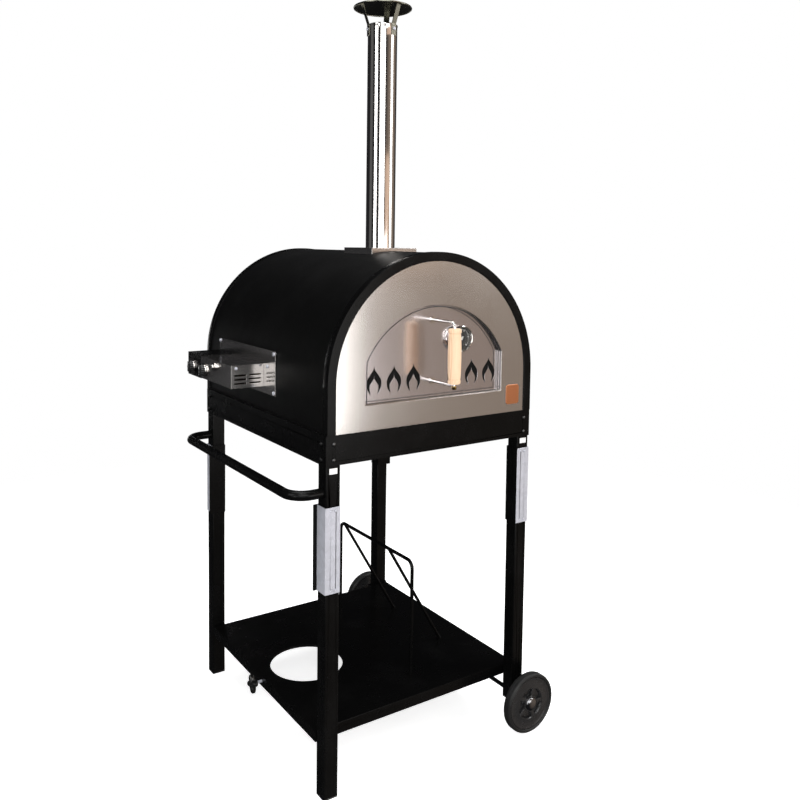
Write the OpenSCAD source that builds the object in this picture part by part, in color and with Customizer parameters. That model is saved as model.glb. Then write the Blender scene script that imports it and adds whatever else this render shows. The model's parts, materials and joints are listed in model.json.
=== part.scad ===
// Wood fired pizza oven on a wheeled steel stand, with a gas burner on its left side.
// +X is to the right of a cook facing the door, +Y to the back, +Z up, floor at z = 0.

/* [Stand] */
// Width over the legs, left to right
frame_w = 656; // [620:2:700]
// Depth over the legs, front to back
frame_d = 768; // [740:2:800]
// Side of the square leg tube
leg = 40; // [36:1:44]
// Height of the underside of the apron band
apron_z = 844; // [800:2:880]
// Height of the apron band
apron_h = 75; // [70:1:80]
// Height of the joint between the upper and the lower leg on the left side
joint_z = 634; // [560:2:660]
// How much higher the right legs end, to make room for the wheels
wheel_lift = 68; // [66:1:74]
// Height of the sleeve that joins the upper and the lower leg
sleeve_h = 216; // [160:2:230]

/* [Shelf] */
// Height of the top of the shelf
shelf_top = 160; // [150:2:170]
// Depth of the shelf's skirt
skirt_h = 30; // [28:1:34]
// Diameter of the gas bottle hole
bottle_d = 210; // [190:2:220]
// Height of the wire rack above the shelf
rack_h = 325; // [280:5:360]

/* [Wheels] */
// Diameter of the wheels
wheel_d = 168; // [164:2:176]
// Width of the wheels
wheel_w = 24; // [20:1:28]
// Diameter of the axle
axle_d = 12; // [10:1:14]

/* [Oven] */
// Outer radius of the vault
vault_r = 326; // [320:1:328]
// Height of the straight walls under the vault
wall_h = 117; // [110:1:130]
// Radius of the baking chamber
chamber_r = 260; // [250:2:266]
// Height of the baking floor above the stand
floor_h = 63; // [60:1:68]
// Half width of the door opening
mouth_half = 221; // [210:1:224]
// Radius of the arch over the door opening
mouth_r = 248; // [246:1:256]
// Height of the crown of the door opening above the baking floor
mouth_h = 245; // [230:1:250]

/* [Flue] */
// Outside diameter of the flue pipe
flue_d = 83; // [80:1:90]
// Height of the top of the flue pipe
flue_top = 1995; // [1800:5:2100]
// Side of the square flue base
flue_base_w = 150; // [140:2:160]
// Diameter of the rain cap
cap_d = 165; // [150:1:180]

/* [Door] */
// How far the door sits behind the front panel's face
door_recess = 14; // [10:1:18]
// Distance from the door's face to the grip's axis
grip_reach = 94; // [80:1:110]
// Diameter of the wooden grip
grip_d = 35; // [30:1:38]
// Diameter of the thermometer
thermo_d = 70; // [60:1:76]

/* [Burner] */
// Length of the stainless burner housing
housing_l = 223; // [200:1:230]
// Length of the black control box behind it
control_l = 104; // [100:1:120]
// How far the burner housing stands out from its plate
housing_out = 95; // [90:1:110]

/* [Hidden] */
$fn = 64;
eps = 0.01;

// Half sizes and levels that the sub-parts share
hx = frame_w / 2;
hy = frame_d / 2;
sheet = 2;
deck_z = apron_z + apron_h;
arch_z = deck_z + wall_h;
floor_z = deck_z + floor_h;
mouth_z = floor_z + mouth_h - mouth_r;
rim_t = 2;
rim_band = 24;
leg_x = hx - leg / 2;
leg_y = hy - leg / 2;
leg_wall = 2;
front_y = -hy - sheet;
door_y = front_y + door_recess;
wheel_r = wheel_d / 2;
wheel_gap = 36;
wheel_in = hy + wheel_gap;
axle_end = wheel_in + wheel_w + 8;
bottle_x = -185;
bottle_y = -20;
clamp_z = shelf_top - skirt_h / 2;
flue_y = -104;
bar_x = -405;
bar_z = 775;
bar_d = 25;
plate_t = 3;
plate_x = -vault_r - plate_t;
plate_y0 = -104;
plate_y1 = 282;
plate_z0 = deck_z + 51;
plate_h = 122;
box_y0 = -33;
box_z0 = deck_z + 69;
box_h = 63;
box_x = plate_x - housing_out;
gas_y = 250;
flame_y = 160;
spark_y = 80;
knob_z = box_z0 + 26;
spark_z = box_z0 + 46;
burner_y = 110;
burner_z = deck_z + 92;
pipe_d = 24;
pipe_hole = pipe_d + 0.4;
thermo_x = 76;
thermo_z = floor_z + 152;
handle_x = -6;
handle_z0 = floor_z + 44;
handle_z1 = floor_z + 205;
handle_wire = 8;

// The reach of the whole object, which sets the origin below the middle of its box
knob_reach = 18;
left_end = box_x - knob_reach;
right_end = leg_x + wheel_r;
front_end = door_y - grip_reach - grip_d / 2;
back_end = axle_end;
mid_x = (left_end + right_end) / 2;
mid_y = (front_end + back_end) / 2;

black = [0.05, 0.05, 0.05];
steel = [0.72, 0.70, 0.67];
zinc = [0.78, 0.78, 0.80];

// ---- helpers ----

module place() {
    translate([-mid_x, -mid_y, 0]) children();
}

// An X-Z outline carried along Y
module along_y(y0, y1) {
    translate([0, y1, 0]) rotate([90, 0, 0]) linear_extrude(y1 - y0) children();
}

// A Y-Z outline carried along X
module along_x(x0, x1) {
    translate([x0, 0, 0]) rotate([90, 0, 90]) linear_extrude(x1 - x0) children();
}

// A round bar from one point to another
module rod(p, q, d) {
    v = q - p;
    length = norm(v);
    translate(p) rotate([0, acos(v[2] / length), atan2(v[1], v[0])]) cylinder(h = length, d = d);
}

// A box given by its two opposite corners
module block(p, q) {
    translate(p) cube(q - p);
}

module rounded_rect(w, h, r) {
    square([w - 2 * r, h], center = true);
    square([w, h - 2 * r], center = true);
    for (sx = [-1, 1], sy = [-1, 1]) translate([sx * (w / 2 - r), sy * (h / 2 - r)]) circle(r, $fn = 32);
}

// Straight walls with a half round on top, standing on level z0
module arch_outline(r, z0 = deck_z) {
    translate([-r, z0]) square([2 * r, arch_z - z0]);
    intersection() {
        translate([0, arch_z]) circle(r, $fn = 128);
        translate([-r, arch_z - eps]) square([2 * r, r + eps]);
    }
}

// The door opening, grown or shrunk on every side
module mouth_outline(grow = 0) {
    intersection() {
        translate([0, mouth_z]) circle(mouth_r + grow, $fn = 128);
        translate([-mouth_half - grow, floor_z - grow]) square([2 * (mouth_half + grow), mouth_r]);
    }
}

// A domed head with a shank, pointing along +Z
module dome_bolt(head_d, head_h, shank_d, shank_l) {
    cylinder(h = head_h * 0.5, d = head_d);
    translate([0, 0, head_h * 0.5]) intersection() {
        scale_r = (head_d * head_d / 4 + head_h * head_h / 4) / head_h;
        translate([0, 0, head_h * 0.5 - scale_r]) sphere(scale_r, $fn = 48);
        cylinder(h = head_h, d = head_d);
    }
    translate([0, 0, -shank_l]) cylinder(h = shank_l + eps, d = shank_d);
}

// A clearance hole along the axis of a dome bolt
module bolt_hole(shank_d, depth) {
    translate([0, 0, -depth]) cylinder(h = depth + 1, d = shank_d + 0.4, $fn = 32);
}

// ---- stand ----

bolt_d = 6;

// Two bolts on both outer faces of every apron corner
module at_apron_bolts() {
    for (sx = [-1, 1], sy = [-1, 1], z = [apron_z + 14, apron_z + 53]) {
        translate([sx * leg_x, sy * (hy + sheet), z]) rotate([-90 * sy, 0, 0]) children();
        translate([sx * (hx + sheet), sy * leg_y, z]) rotate([0, 90 * sx, 0]) children();
    }
}

// One bolt from each end of the shelf into its leg
module at_shelf_bolts() {
    for (sx = [-1, 1], sy = [-1, 1])
        translate([sx * leg_x, sy * shelf_y, shelf_top - skirt_h / 2]) rotate([-90 * sy, 0, 0]) children();
}

// Two screws at both ends of every leg sleeve
screw_d = 4;
module at_sleeve_screws() {
    for (sx = [-1, 1], sy = [-1, 1], end = [-1, 1], dx = [-7, 7])
        translate([sx * leg_x + dx, sy * (hy + sheet), joint_z + lift(sx) + end * (sleeve_h / 2 - 9)])
            rotate([-90 * sy, 0, 0]) children();
}

module apron_frame() {
    color(black) place() difference() {
        block([-hx - sheet, -hy - sheet, apron_z], [hx + sheet, hy + sheet, deck_z]);
        block([-hx, -hy, apron_z - 1], [hx, hy, deck_z + 1]);
        at_apron_bolts() bolt_hole(bolt_d, 5);
    }
}

module base_tray() {
    color(black) place() block([-hx, -hy, deck_z - sheet], [hx, hy, deck_z]);
}

module leg_tube(sx, sy, z0, z1) {
    translate([sx * leg_x, sy * leg_y, z0]) linear_extrude(z1 - z0) difference() {
        rounded_rect(leg, leg, 3);
        rounded_rect(leg - 2 * leg_wall, leg - 2 * leg_wall, 1.5);
    }
}

function lift(sx) = sx > 0 ? wheel_lift : 0;
plug_w = 22;
plug_h = 14;
plug_z = apron_z - 13;
cap_t = 4;

module upper_leg(sx, sy) {
    color(black) place() difference() {
        leg_tube(sx, sy, joint_z + lift(sx), deck_z - sheet);
        translate([sx * leg_x, sy * hy, plug_z])
            cube([plug_w - 6, 3 * leg_wall, plug_h - 6], center = true);
        at_apron_bolts() bolt_hole(bolt_d, 5);
        at_sleeve_screws() bolt_hole(screw_d, 5);
    }
}

module lower_leg(sx, sy) {
    color(black) place() difference() {
        leg_tube(sx, sy, lift(sx) + cap_t, joint_z + lift(sx));
        if (sx > 0) translate([leg_x, sy * leg_y, wheel_r]) rotate([90, 0, 0])
            cylinder(h = leg + 2, d = axle_d + 0.2, center = true);
        at_shelf_bolts() translate([0, 0, 9]) bolt_hole(bolt_d, 4);
        at_sleeve_screws() bolt_hole(screw_d, 5);
    }
}

// Bright angle over the two outer faces of each leg joint
module leg_sleeves() {
    color(zinc) place() difference() {
        for (sx = [-1, 1], sy = [-1, 1])
            translate([0, 0, joint_z + lift(sx) - sleeve_h / 2]) linear_extrude(sleeve_h) scale([sx, sy])
                difference() {
                    translate([hx - leg, hy - leg]) square(leg + sheet);
                    translate([hx - leg - 1, hy - leg - 1]) square(leg + 1);
                }
        at_sleeve_screws() bolt_hole(screw_d, 5);
    }
}

// Flat plate on the inner face of each leg joint, with an edge that stands out sideways
splice_t = 4;
splice_out = 11;
module splice_plates() {
    color(black) place() for (sx = [-1, 1], sy = [-1, 1])
        translate([0, 0, joint_z + lift(sx) - sleeve_h / 2]) linear_extrude(sleeve_h) scale([sx, sy])
            translate([hx - leg, hy - leg - splice_t]) square([leg + splice_out, splice_t]);
}

module sleeve_screws() {
    color(zinc) place() at_sleeve_screws() dome_bolt(6, 2, screw_d, 4);
}

module leg_plugs() {
    color("white") place() for (sx = [-1, 1], sy = [-1, 1]) translate([sx * leg_x, sy * hy, plug_z]) {
        translate([0, -sy, 0]) cube([plug_w - 6, 2, plug_h - 6], center = true);
        translate([0, sy * 0.5, 0]) cube([plug_w, 1, plug_h], center = true);
    }
}

module foot_caps() {
    color(black) place() for (sx = [-1, 1], sy = [-1, 1])
        translate([sx * leg_x, sy * leg_y, lift(sx)]) {
            linear_extrude(cap_t) rounded_rect(leg, leg, 3);
            linear_extrude(cap_t + 5) rounded_rect(leg - 2 * leg_wall, leg - 2 * leg_wall, 1.5);
        }
}

module frame_bolts() {
    color(zinc) place() {
        at_apron_bolts() dome_bolt(9, 3.5, bolt_d, 6);
        at_shelf_bolts() {
            translate([0, 0, -6]) cylinder(h = 12 + leg_wall, d = bolt_d);
            cylinder(h = 6, d = 16);
        }
    }
}

shelf_y = hy - leg - 6;
module shelf() {
    color(black) place() difference() {
        union() {
            block([-hx, -shelf_y, shelf_top - sheet], [hx, shelf_y, shelf_top]);
            difference() {
                block([-hx, -shelf_y, shelf_top - skirt_h], [hx, shelf_y, shelf_top]);
                block([-hx + sheet, -shelf_y + sheet, 0], [hx - sheet, shelf_y - sheet, shelf_top - sheet]);
            }
            translate([bottle_x, bottle_y, shelf_top - 7]) cylinder(h = 7, d = bottle_d + 4, $fn = 128);
            translate([-hx + sheet, bottle_y, clamp_z]) rotate([0, 90, 0]) cylinder(h = 10, d = 16);
        }
        translate([bottle_x, bottle_y, 0]) cylinder(h = 300, d = bottle_d, $fn = 128);
        translate([-hx - 1, bottle_y, clamp_z]) rotate([0, 90, 0]) cylinder(h = 20, d = clamp_d + 0.8);
        at_shelf_bolts() bolt_hole(bolt_d, 3);
    }
}

rack_x = 36;
rack_y0 = -235;
rack_y1 = 165;
rack_wire = 10;
rack_bend = 22;
brace_run = 195;
module bottle_rack() {
    top = shelf_top + rack_h;
    color(black) place() {
        for (end = [[rack_y0, 1], [rack_y1, -1]]) {
            rod([rack_x, end[0], shelf_top], [rack_x, end[0], top - rack_bend], rack_wire);
            translate([rack_x, end[0] + end[1] * rack_bend, top - rack_bend])
                rotate([90, 0, end[1] > 0 ? -90 : 90]) rotate_extrude(angle = 90)
                    translate([rack_bend, 0]) circle(d = rack_wire, $fn = 32);
            translate([rack_x, end[0], shelf_top]) cylinder(h = 3, d = 22);
        }
        rod([rack_x, rack_y0 + rack_bend, top], [rack_x, rack_y1 - rack_bend, top], rack_wire);
        for (y = [-113, rack_y1 - rack_bend]) {
            difference() {
                rod([rack_x, y, top], [rack_x + brace_run + 6, y, shelf_top - 10], rack_wire - 1);
                block([rack_x, y - 20, 0], [rack_x + 2 * brace_run, y + 20, shelf_top]);
            }
            translate([rack_x + brace_run, y, shelf_top]) cylinder(h = 3, d = 22);
        }
    }
}

bar_bend = 50;
module push_bar() {
    color(black) place() {
        rod([bar_x, -leg_y + bar_bend, bar_z], [bar_x, leg_y - bar_bend, bar_z], bar_d);
        for (sy = [-1, 1]) {
            rod([bar_x + bar_bend, sy * leg_y, bar_z], [-hx, sy * leg_y, bar_z], bar_d);
            translate([bar_x + bar_bend, sy * (leg_y - bar_bend), bar_z]) rotate([0, 0, sy > 0 ? 90 : 180])
                rotate_extrude(angle = 90) translate([bar_bend, 0]) circle(d = bar_d, $fn = 48);
        }
    }
}

// ---- wheels ----

module axle() {
    color(zinc) place() {
        rod([leg_x, -axle_end + 3, wheel_r], [leg_x, axle_end - 3, wheel_r], axle_d);
        for (sy = [-1, 1])
            rod([leg_x, sy * hy, wheel_r], [leg_x, sy * (wheel_in - 0.5), wheel_r], axle_d + 8);
    }
}

module axle_caps() {
    color(zinc) place() for (sy = [-1, 1]) difference() {
        rod([leg_x, sy * (wheel_in + wheel_w + 0.5), wheel_r], [leg_x, sy * axle_end, wheel_r], 26);
        rod([leg_x, 0, wheel_r], [leg_x, sy * (axle_end - 3), wheel_r], axle_d);
    }
}

tyre_in = wheel_r - 10;
hub_out = tyre_in - 0.4;
module wheel_at(sy) {
    translate([leg_x, sy * (wheel_in + wheel_w / 2), wheel_r]) rotate([90, 0, 0]) children();
}

module tyre(sy) {
    color([0.12, 0.12, 0.12]) place() wheel_at(sy) rotate_extrude($fn = 128) {
        edge = (wheel_r - tyre_in) / 2;
        difference() {
            union() {
                translate([tyre_in, -wheel_w / 2 + edge]) square([wheel_r - tyre_in, wheel_w - 2 * edge]);
                translate([tyre_in, -wheel_w / 2]) square([wheel_r - tyre_in - edge, wheel_w]);
                for (s = [-1, 1]) translate([wheel_r - edge, s * (wheel_w / 2 - edge)])
                    circle(edge, $fn = 32);
            }
            for (s = [-1, 1]) translate([wheel_r, s * 6]) circle(1.2, $fn = 16);
        }
    }
}

hub_ribs = 5;
hub_reach = 42;
module wheel_hub(sy) {
    color([0.2, 0.2, 0.21]) place() wheel_at(sy) difference() {
        union() {
            rotate_extrude($fn = 96) {
                translate([hub_reach, -wheel_w / 2 + 2]) square([hub_out - hub_reach, wheel_w - 4]);
                translate([10, -4]) square([hub_reach - 8, 8]);
                translate([2, -wheel_w / 2]) square([16, wheel_w]);
            }
            for (i = [0:hub_ribs - 1]) rotate(i * 360 / hub_ribs + 90)
                translate([14, -4, 4 - wheel_w / 2]) cube([hub_reach - 12, 8, wheel_w - 8]);
        }
        cylinder(h = wheel_w + 2, d = axle_d + 0.1, center = true);
    }
}

// ---- gas bottle clamp ----

clamp_d = 8;
clamp_travel = 12;
knob_in = -hx - clamp_travel - 3;
shoe_x = bottle_x - bottle_d / 2 - 10;
module clamp_screw() {
    color(zinc) place() translate([0, bottle_y, clamp_z]) {
        rod([knob_in - 12, 0, 0], [shoe_x + 2, 0, 0], clamp_d);
        rod([shoe_x + 2, 0, 0], [shoe_x + 5, 0, 0], clamp_d - 3);
    }
}

module clamp_knob() {
    color(black) place() translate([knob_in, bottle_y, clamp_z]) rotate([0, -90, 0]) difference() {
        union() {
            cylinder(h = 8, d = 22);
            translate([0, 0, 6]) linear_extrude(14) {
                circle(17);
                for (i = [0:3]) rotate(i * 90 + 20) translate([18, 0]) circle(8);
            }
        }
        translate([0, 0, -1]) cylinder(h = 13, d = clamp_d);
    }
}

module clamp_shoe() {
    color(zinc) place() translate([shoe_x, bottle_y, clamp_z]) rotate([0, 90, 0]) difference() {
        translate([0, 0, 2.4]) cylinder(h = 6.6, d = 15);
        translate([0, 0, 1]) cylinder(h = 4.4, d = clamp_d - 3 + 0.7);
    }
}

// ---- oven body ----

stone_gap = 1;
throat_in = -hy + 88;
liner_back = hy - 54;
module hearth_stones() {
    color([0.80, 0.74, 0.64]) place() {
        half = chamber_r - 4;
        middle = (throat_in + liner_back) / 2;
        for (sx = [0, 1], sy = [0, 1]) {
            x0 = sx == 0 ? -half : stone_gap / 2;
            y0 = sy == 0 ? throat_in + 3 : middle + stone_gap / 2;
            length = liner_back - 3 - middle - stone_gap / 2;
            block([x0, y0, floor_z - 30], [x0 + half - stone_gap / 2, y0 + length, floor_z]);
        }
        block([-mouth_half, -hy, floor_z - 30], [mouth_half, throat_in - 1, floor_z - sheet]);
    }
}

module vault_shell() {
    color(black) place() difference() {
        union() {
            along_y(-hy, hy) difference() {
                arch_outline(vault_r);
                arch_outline(vault_r - 1.2);
            }
            for (sx = [-1, 1]) block([min(sx * vault_r, sx * (vault_r + rim_t)), -hy + 22, deck_z],
                                     [max(sx * vault_r, sx * (vault_r + rim_t)), hy - 22, deck_z + 4]);
        }
        translate([0, flue_y, arch_z]) cylinder(h = 400, d = flue_d + 0.4);
        rod([-400, burner_y, burner_z], [-300, burner_y, burner_z], pipe_hole);
        at_plate_bolts() bolt_hole(bolt_d, 8);
    }
}

// Floor board and blanket round the chamber
module insulation() {
    color([0.85, 0.84, 0.80]) place() {
        block([-chamber_r - 2, -hy, deck_z], [chamber_r + 2, liner_back, floor_z - 30]);
        difference() {
            along_y(-hy, hy) arch_outline(vault_r - 1.2);
            along_y(throat_in, liner_back) arch_outline(chamber_r + 2);
            block([-chamber_r - 2, -hy - 1, 0], [chamber_r + 2, liner_back, floor_z - 30]);
            along_y(-hy - 1, throat_in + 1) mouth_outline(2);
            block([-mouth_half - 2, -hy - 1, floor_z - 31], [mouth_half + 2, throat_in + 1, floor_z]);
            translate([0, flue_y, arch_z]) cylinder(h = 400, d = flue_d + 0.4);
            rod([-400, burner_y, burner_z], [-200, burner_y, burner_z], pipe_hole);
            at_plate_bolts() bolt_hole(bolt_d, 8);
        }
    }
}

module oven_liner() {
    color(steel) place() difference() {
        along_y(throat_in, liner_back) arch_outline(chamber_r + 2, floor_z - 30);
        along_y(throat_in + 2, liner_back - 2) arch_outline(chamber_r, floor_z - 31);
        along_y(throat_in - 1, throat_in + 3) mouth_outline(2);
        translate([0, flue_y, arch_z]) cylinder(h = 400, d = flue_d + 0.4);
        rod([-400, burner_y, burner_z], [-200, burner_y, burner_z], pipe_hole);
        block([-mouth_half, throat_in - 1, 0], [mouth_half, throat_in + 3, floor_z]);
    }
}

// Tunnel behind the front panel, with a stop that the door rests against
module throat_collar() {
    color(steel) place() {
        along_y(-hy, throat_in + 2) difference() {
            mouth_outline(2);
            mouth_outline(0);
        }
        along_y(door_y + sheet + 0.5, door_y + sheet + 4) difference() {
            mouth_outline(1);
            mouth_outline(-6);
        }
    }
}

module front_panel() {
    color(steel) place() along_y(-hy - sheet, -hy) difference() {
        arch_outline(vault_r);
        mouth_outline(0);
    }
}

module back_panel() {
    color(black) place() along_y(hy, hy + sheet) arch_outline(vault_r);
}

module arch_rims() {
    color(black) place() for (sy = [-1, 1]) scale([1, sy, 1]) {
        along_y(hy + sheet, hy + sheet + 3) difference() {
            arch_outline(vault_r + rim_t);
            arch_outline(vault_r + rim_t - rim_band, deck_z - 1);
        }
        along_y(hy - 20, hy + sheet + eps) difference() {
            arch_outline(vault_r + rim_t);
            arch_outline(vault_r, deck_z - 1);
        }
    }
}

module blank_badge() {
    color([0.82, 0.45, 0.22]) place() translate([263, -hy - sheet, deck_z + 49]) rotate([90, 0, 0])
        linear_extrude(1.2) rounded_rect(46, 54, 7);
}

// ---- flue ----

module flue_base() {
    base_top = arch_z + vault_r + 9;
    half = flue_base_w / 2;
    color(steel) place() difference() {
        translate([-half, flue_y - half, arch_z + vault_r - 40]) cube([2 * half, 2 * half, 49]);
        translate([-half + sheet, flue_y - half + sheet, arch_z]) cube([2 * half - 2 * sheet,
            2 * half - 2 * sheet, base_top - sheet - arch_z]);
        along_y(-hy, hy) translate([0, arch_z]) circle(vault_r + 0.1, $fn = 128);
        translate([0, flue_y, arch_z]) cylinder(h = 400, d = flue_d + 0.4);
    }
}

module flue_pipe() {
    color(steel) place() translate([0, flue_y, 0]) difference() {
        z0 = arch_z + chamber_r - 12;
        translate([0, 0, z0]) cylinder(h = flue_top - z0, d = flue_d, $fn = 96);
        translate([0, 0, z0 - 1]) cylinder(h = flue_top - z0 + 2, d = flue_d - 2.4, $fn = 96);
        at_cap_bolts() bolt_hole(bolt_d, 5);
    }
}

cap_z = flue_top + 46;
cap_rise = 24;
module rain_cap() {
    color(steel) place() translate([0, flue_y, cap_z]) rotate_extrude($fn = 96)
        polygon([[0, cap_rise], [14, cap_rise], [cap_d / 2, 3], [cap_d / 2, -4], [cap_d / 2 - 1.5, -4],
                 [cap_d / 2 - 1.5, 1.5], [14, cap_rise - 1.5], [0, cap_rise - 1.5]]);
}

strap_angles = [-75, 45, 165];
module cap_straps() {
    r = flue_d / 2;
    slope = (cap_rise - 3) / (cap_d / 2 - 14);
    inner = r + 18;
    outer = r + 32;
    under = cap_z + 1.5 + slope * (cap_d / 2 - 1.5 - inner);
    lip = under - slope * (outer - inner);
    color(steel) place() translate([0, flue_y, 0]) for (a = strap_angles) rotate([0, 0, a]) difference() {
        rotate([90, 0, 0]) linear_extrude(16, center = true)
            polygon([[r - 1, flue_top - 32], [r + 2, flue_top - 32], [r + 2, flue_top],
                     [inner + 1, under - 4], [outer, lip - 3], [outer, lip - 0.5],
                     [inner - 1, under + slope - 0.5], [r, flue_top + 1], [r - 1, flue_top]]);
        cylinder(h = flue_top, r = r + 0.05, $fn = 96);
        translate([r + 2, 0, flue_top - 14]) rotate([0, 90, 0]) bolt_hole(bolt_d, 5);
    }
}

module at_cap_bolts() {
    for (a = strap_angles) rotate([0, 0, a])
        translate([flue_d / 2 + 2, 0, flue_top - 14]) rotate([0, 90, 0]) children();
}

module cap_bolts() {
    color(zinc) place() translate([0, flue_y, 0]) at_cap_bolts() dome_bolt(10, 4, bolt_d, 6);
}

// ---- gas burner on the left side ----

module burner_plate() {
    color(steel) place() difference() {
        block([plate_x, plate_y0, plate_z0], [plate_x + plate_t, plate_y1, plate_z0 + plate_h]);
        rod([-400, burner_y, burner_z], [-300, burner_y, burner_z], pipe_hole);
        at_plate_bolts() bolt_hole(bolt_d, 4);
    }
}

// One bolt in each corner of the plate, and one beside the housing
module at_plate_bolts() {
    corners = [for (y = [plate_y0 + 8, plate_y1 - 8], z = [plate_z0 + 8, plate_z0 + plate_h - 8]) [y, z]];
    for (p = concat(corners, [[plate_y0 + 48, plate_z0 + 76]]))
        translate([plate_x, p[0], p[1]]) rotate([0, -90, 0]) children();
}

module at_housing_screw() {
    translate([box_x + 14, box_y0, box_z0 + box_h - 8]) rotate([90, 0, 0]) children();
}

module plate_bolts() {
    color(zinc) place() {
        at_plate_bolts() dome_bolt(10, 4, bolt_d, 6);
        at_housing_screw() dome_bolt(8, 3, screw_d, 5);
    }
}

// Sheet box with louvre slots in its front face, open at its back end and on the plate side
module burner_housing() {
    wall = 1.5;
    color(steel) place() difference() {
        block([box_x, box_y0, box_z0], [plate_x, box_y0 + housing_l, box_z0 + box_h]);
        block([box_x + wall, box_y0 + wall, box_z0 + wall],
              [plate_x + 1, box_y0 + housing_l + 1, box_z0 + box_h - wall]);
        for (column = [0, 1], row = [0:2])
            block([box_x + 9 + column * 43, box_y0 - 1, box_z0 + 11 + row * 11],
                  [box_x + 43 + column * 43, box_y0 + 5, box_z0 + 15 + row * 11]);
        at_housing_screw() bolt_hole(screw_d, 3);
        for (hole = [[flame_y, knob_z], [spark_y, spark_z]])
            rod([box_x - 1, hole[0], hole[1]], [box_x + 5, hole[0], hole[1]], 9);
    }
}

module control_cover() {
    wall = 2;
    y0 = box_y0 + housing_l;
    color(black) place() difference() {
        block([box_x, y0, box_z0 - 2], [plate_x, y0 + control_l, box_z0 + box_h + 2]);
        block([box_x + wall, y0 - 1, box_z0], [plate_x + 1, y0 + control_l - wall, box_z0 + box_h]);
        rod([box_x - 1, gas_y, knob_z], [box_x + 5, gas_y, knob_z], 9);
        rod([box_x + 40, y0 + 60, knob_z], [box_x + 40, y0 + control_l + 5, knob_z], 14);
    }
}

module knob_bezels() {
    color(zinc) place() {
        for (y = [gas_y, flame_y]) difference() {
            rod([box_x - 2, y, knob_z], [box_x, y, knob_z], 44);
            rod([box_x - 3, y, knob_z], [box_x + 1, y, knob_z], 9);
        }
        difference() {
            rod([box_x - 5, spark_y, spark_z], [box_x, spark_y, spark_z], 24);
            rod([box_x - 6, spark_y, spark_z], [box_x + 1, spark_y, spark_z], 15);
        }
    }
}

// Turning knob with a raised pointer bar
module control_knob(y) {
    place() translate([box_x - 2.5, y, knob_z]) rotate([0, -90, 0]) {
        cylinder(h = 9, d = 36);
        cylinder(h = 12, d = 30);
        translate([-16, -4, 9]) cube([32, 8, knob_reach - 11.5]);
        translate([0, 0, -18]) cylinder(h = 19, d = 6);
    }
}

module gas_knob() {
    color(black) control_knob(gas_y);
}

module flame_knob() {
    color(black) control_knob(flame_y);
}

module igniter_button() {
    color(zinc) place() translate([0, spark_y, spark_z]) {
        rod([box_x - 12, 0, 0], [box_x - 4.6, 0, 0], 14);
        rod([box_x - 5, 0, 0], [box_x + 14, 0, 0], 6);
    }
}

module gas_valve() {
    color([0.75, 0.6, 0.3]) place() difference() {
        union() {
            block([box_x + 22, gas_y - 18, knob_z - 14], [box_x + 58, gas_y + 18, knob_z + 14]);
            rod([box_x + 40, gas_y, knob_z], [box_x + 40, box_y0 + housing_l + control_l + 22, knob_z], 14);
            rod([box_x + 40, burner_y + 12, knob_z], [box_x + 40, gas_y, knob_z], 8);
            block([box_x + 24, burner_y - 16, knob_z - 14], [box_x + 56, burner_y + 12, knob_z + 14]);
        }
        rod([box_x + 40, box_y0 + housing_l + control_l, knob_z],
            [box_x + 40, box_y0 + housing_l + control_l + 30, knob_z], 6);
    }
}

// Feed tube through the wall and a slotted flame bar along the chamber's left side
flame_x = -chamber_r + 24;
module burner_tube() {
    color(steel) place() difference() {
        union() {
            rod([box_x + 56, burner_y, burner_z], [flame_x, burner_y, burner_z], pipe_d);
            rod([flame_x, burner_y - 150, burner_z], [flame_x, burner_y + 150, burner_z], 30);
        }
        for (i = [-6:6]) translate([flame_x, burner_y + i * 20, burner_z])
            rod([0, 0, 0], [20, 0, 12], 4);
    }
}

// ---- door ----

// One half of a flame: a blade that bulges outwards and ends in a point
function curve(a, b, c, d, steps = 8) = [for (i = [0:steps]) let (t = i / steps, s = 1 - t)
    s * s * s * a + 3 * s * s * t * b + 3 * s * t * t * c + t * t * t * d];
module flame_blade() {
    polygon(concat(
        curve([0, 36], [-5, 20], [-27, 9], [-23, -9]),
        curve([-22, -16], [-20, -23], [-16, -28], [-12, -34]),
        curve([-15, -18], [-16, -11], [-10, -4], [-2, 6])));
}

module flame_outline() {
    for (side = [0, 1]) mirror([side, 0]) translate([1.5, 0]) intersection() {
        flame_blade();
        translate([-40, -40]) square([39.5, 80]);
    }
}

module door_panel() {
    color(steel) place() difference() {
        along_y(door_y, door_y + sheet) difference() {
            mouth_outline(-2);
            for (x = [-186, -126, -66, 66, 126, 186]) translate([x, floor_z + 57]) flame_outline();
        }
        for (z = [handle_z0, handle_z1])
            rod([handle_x, door_y - 5, z], [handle_x, door_y + 5, z], handle_wire);
        rod([thermo_x, door_y - 5, thermo_z], [thermo_x, door_y + 5, thermo_z], 10);
    }
}

module door_core() {
    color([0.1, 0.1, 0.1]) place() difference() {
        along_y(door_y + sheet, door_y + sheet + 26) mouth_outline(-9);
        for (z = [handle_z0, handle_z1])
            rod([handle_x, door_y, z], [handle_x, door_y + 14, z], handle_wire);
        rod([thermo_x, door_y, thermo_z], [thermo_x, door_y + 27, thermo_z], 10);
    }
}

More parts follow.
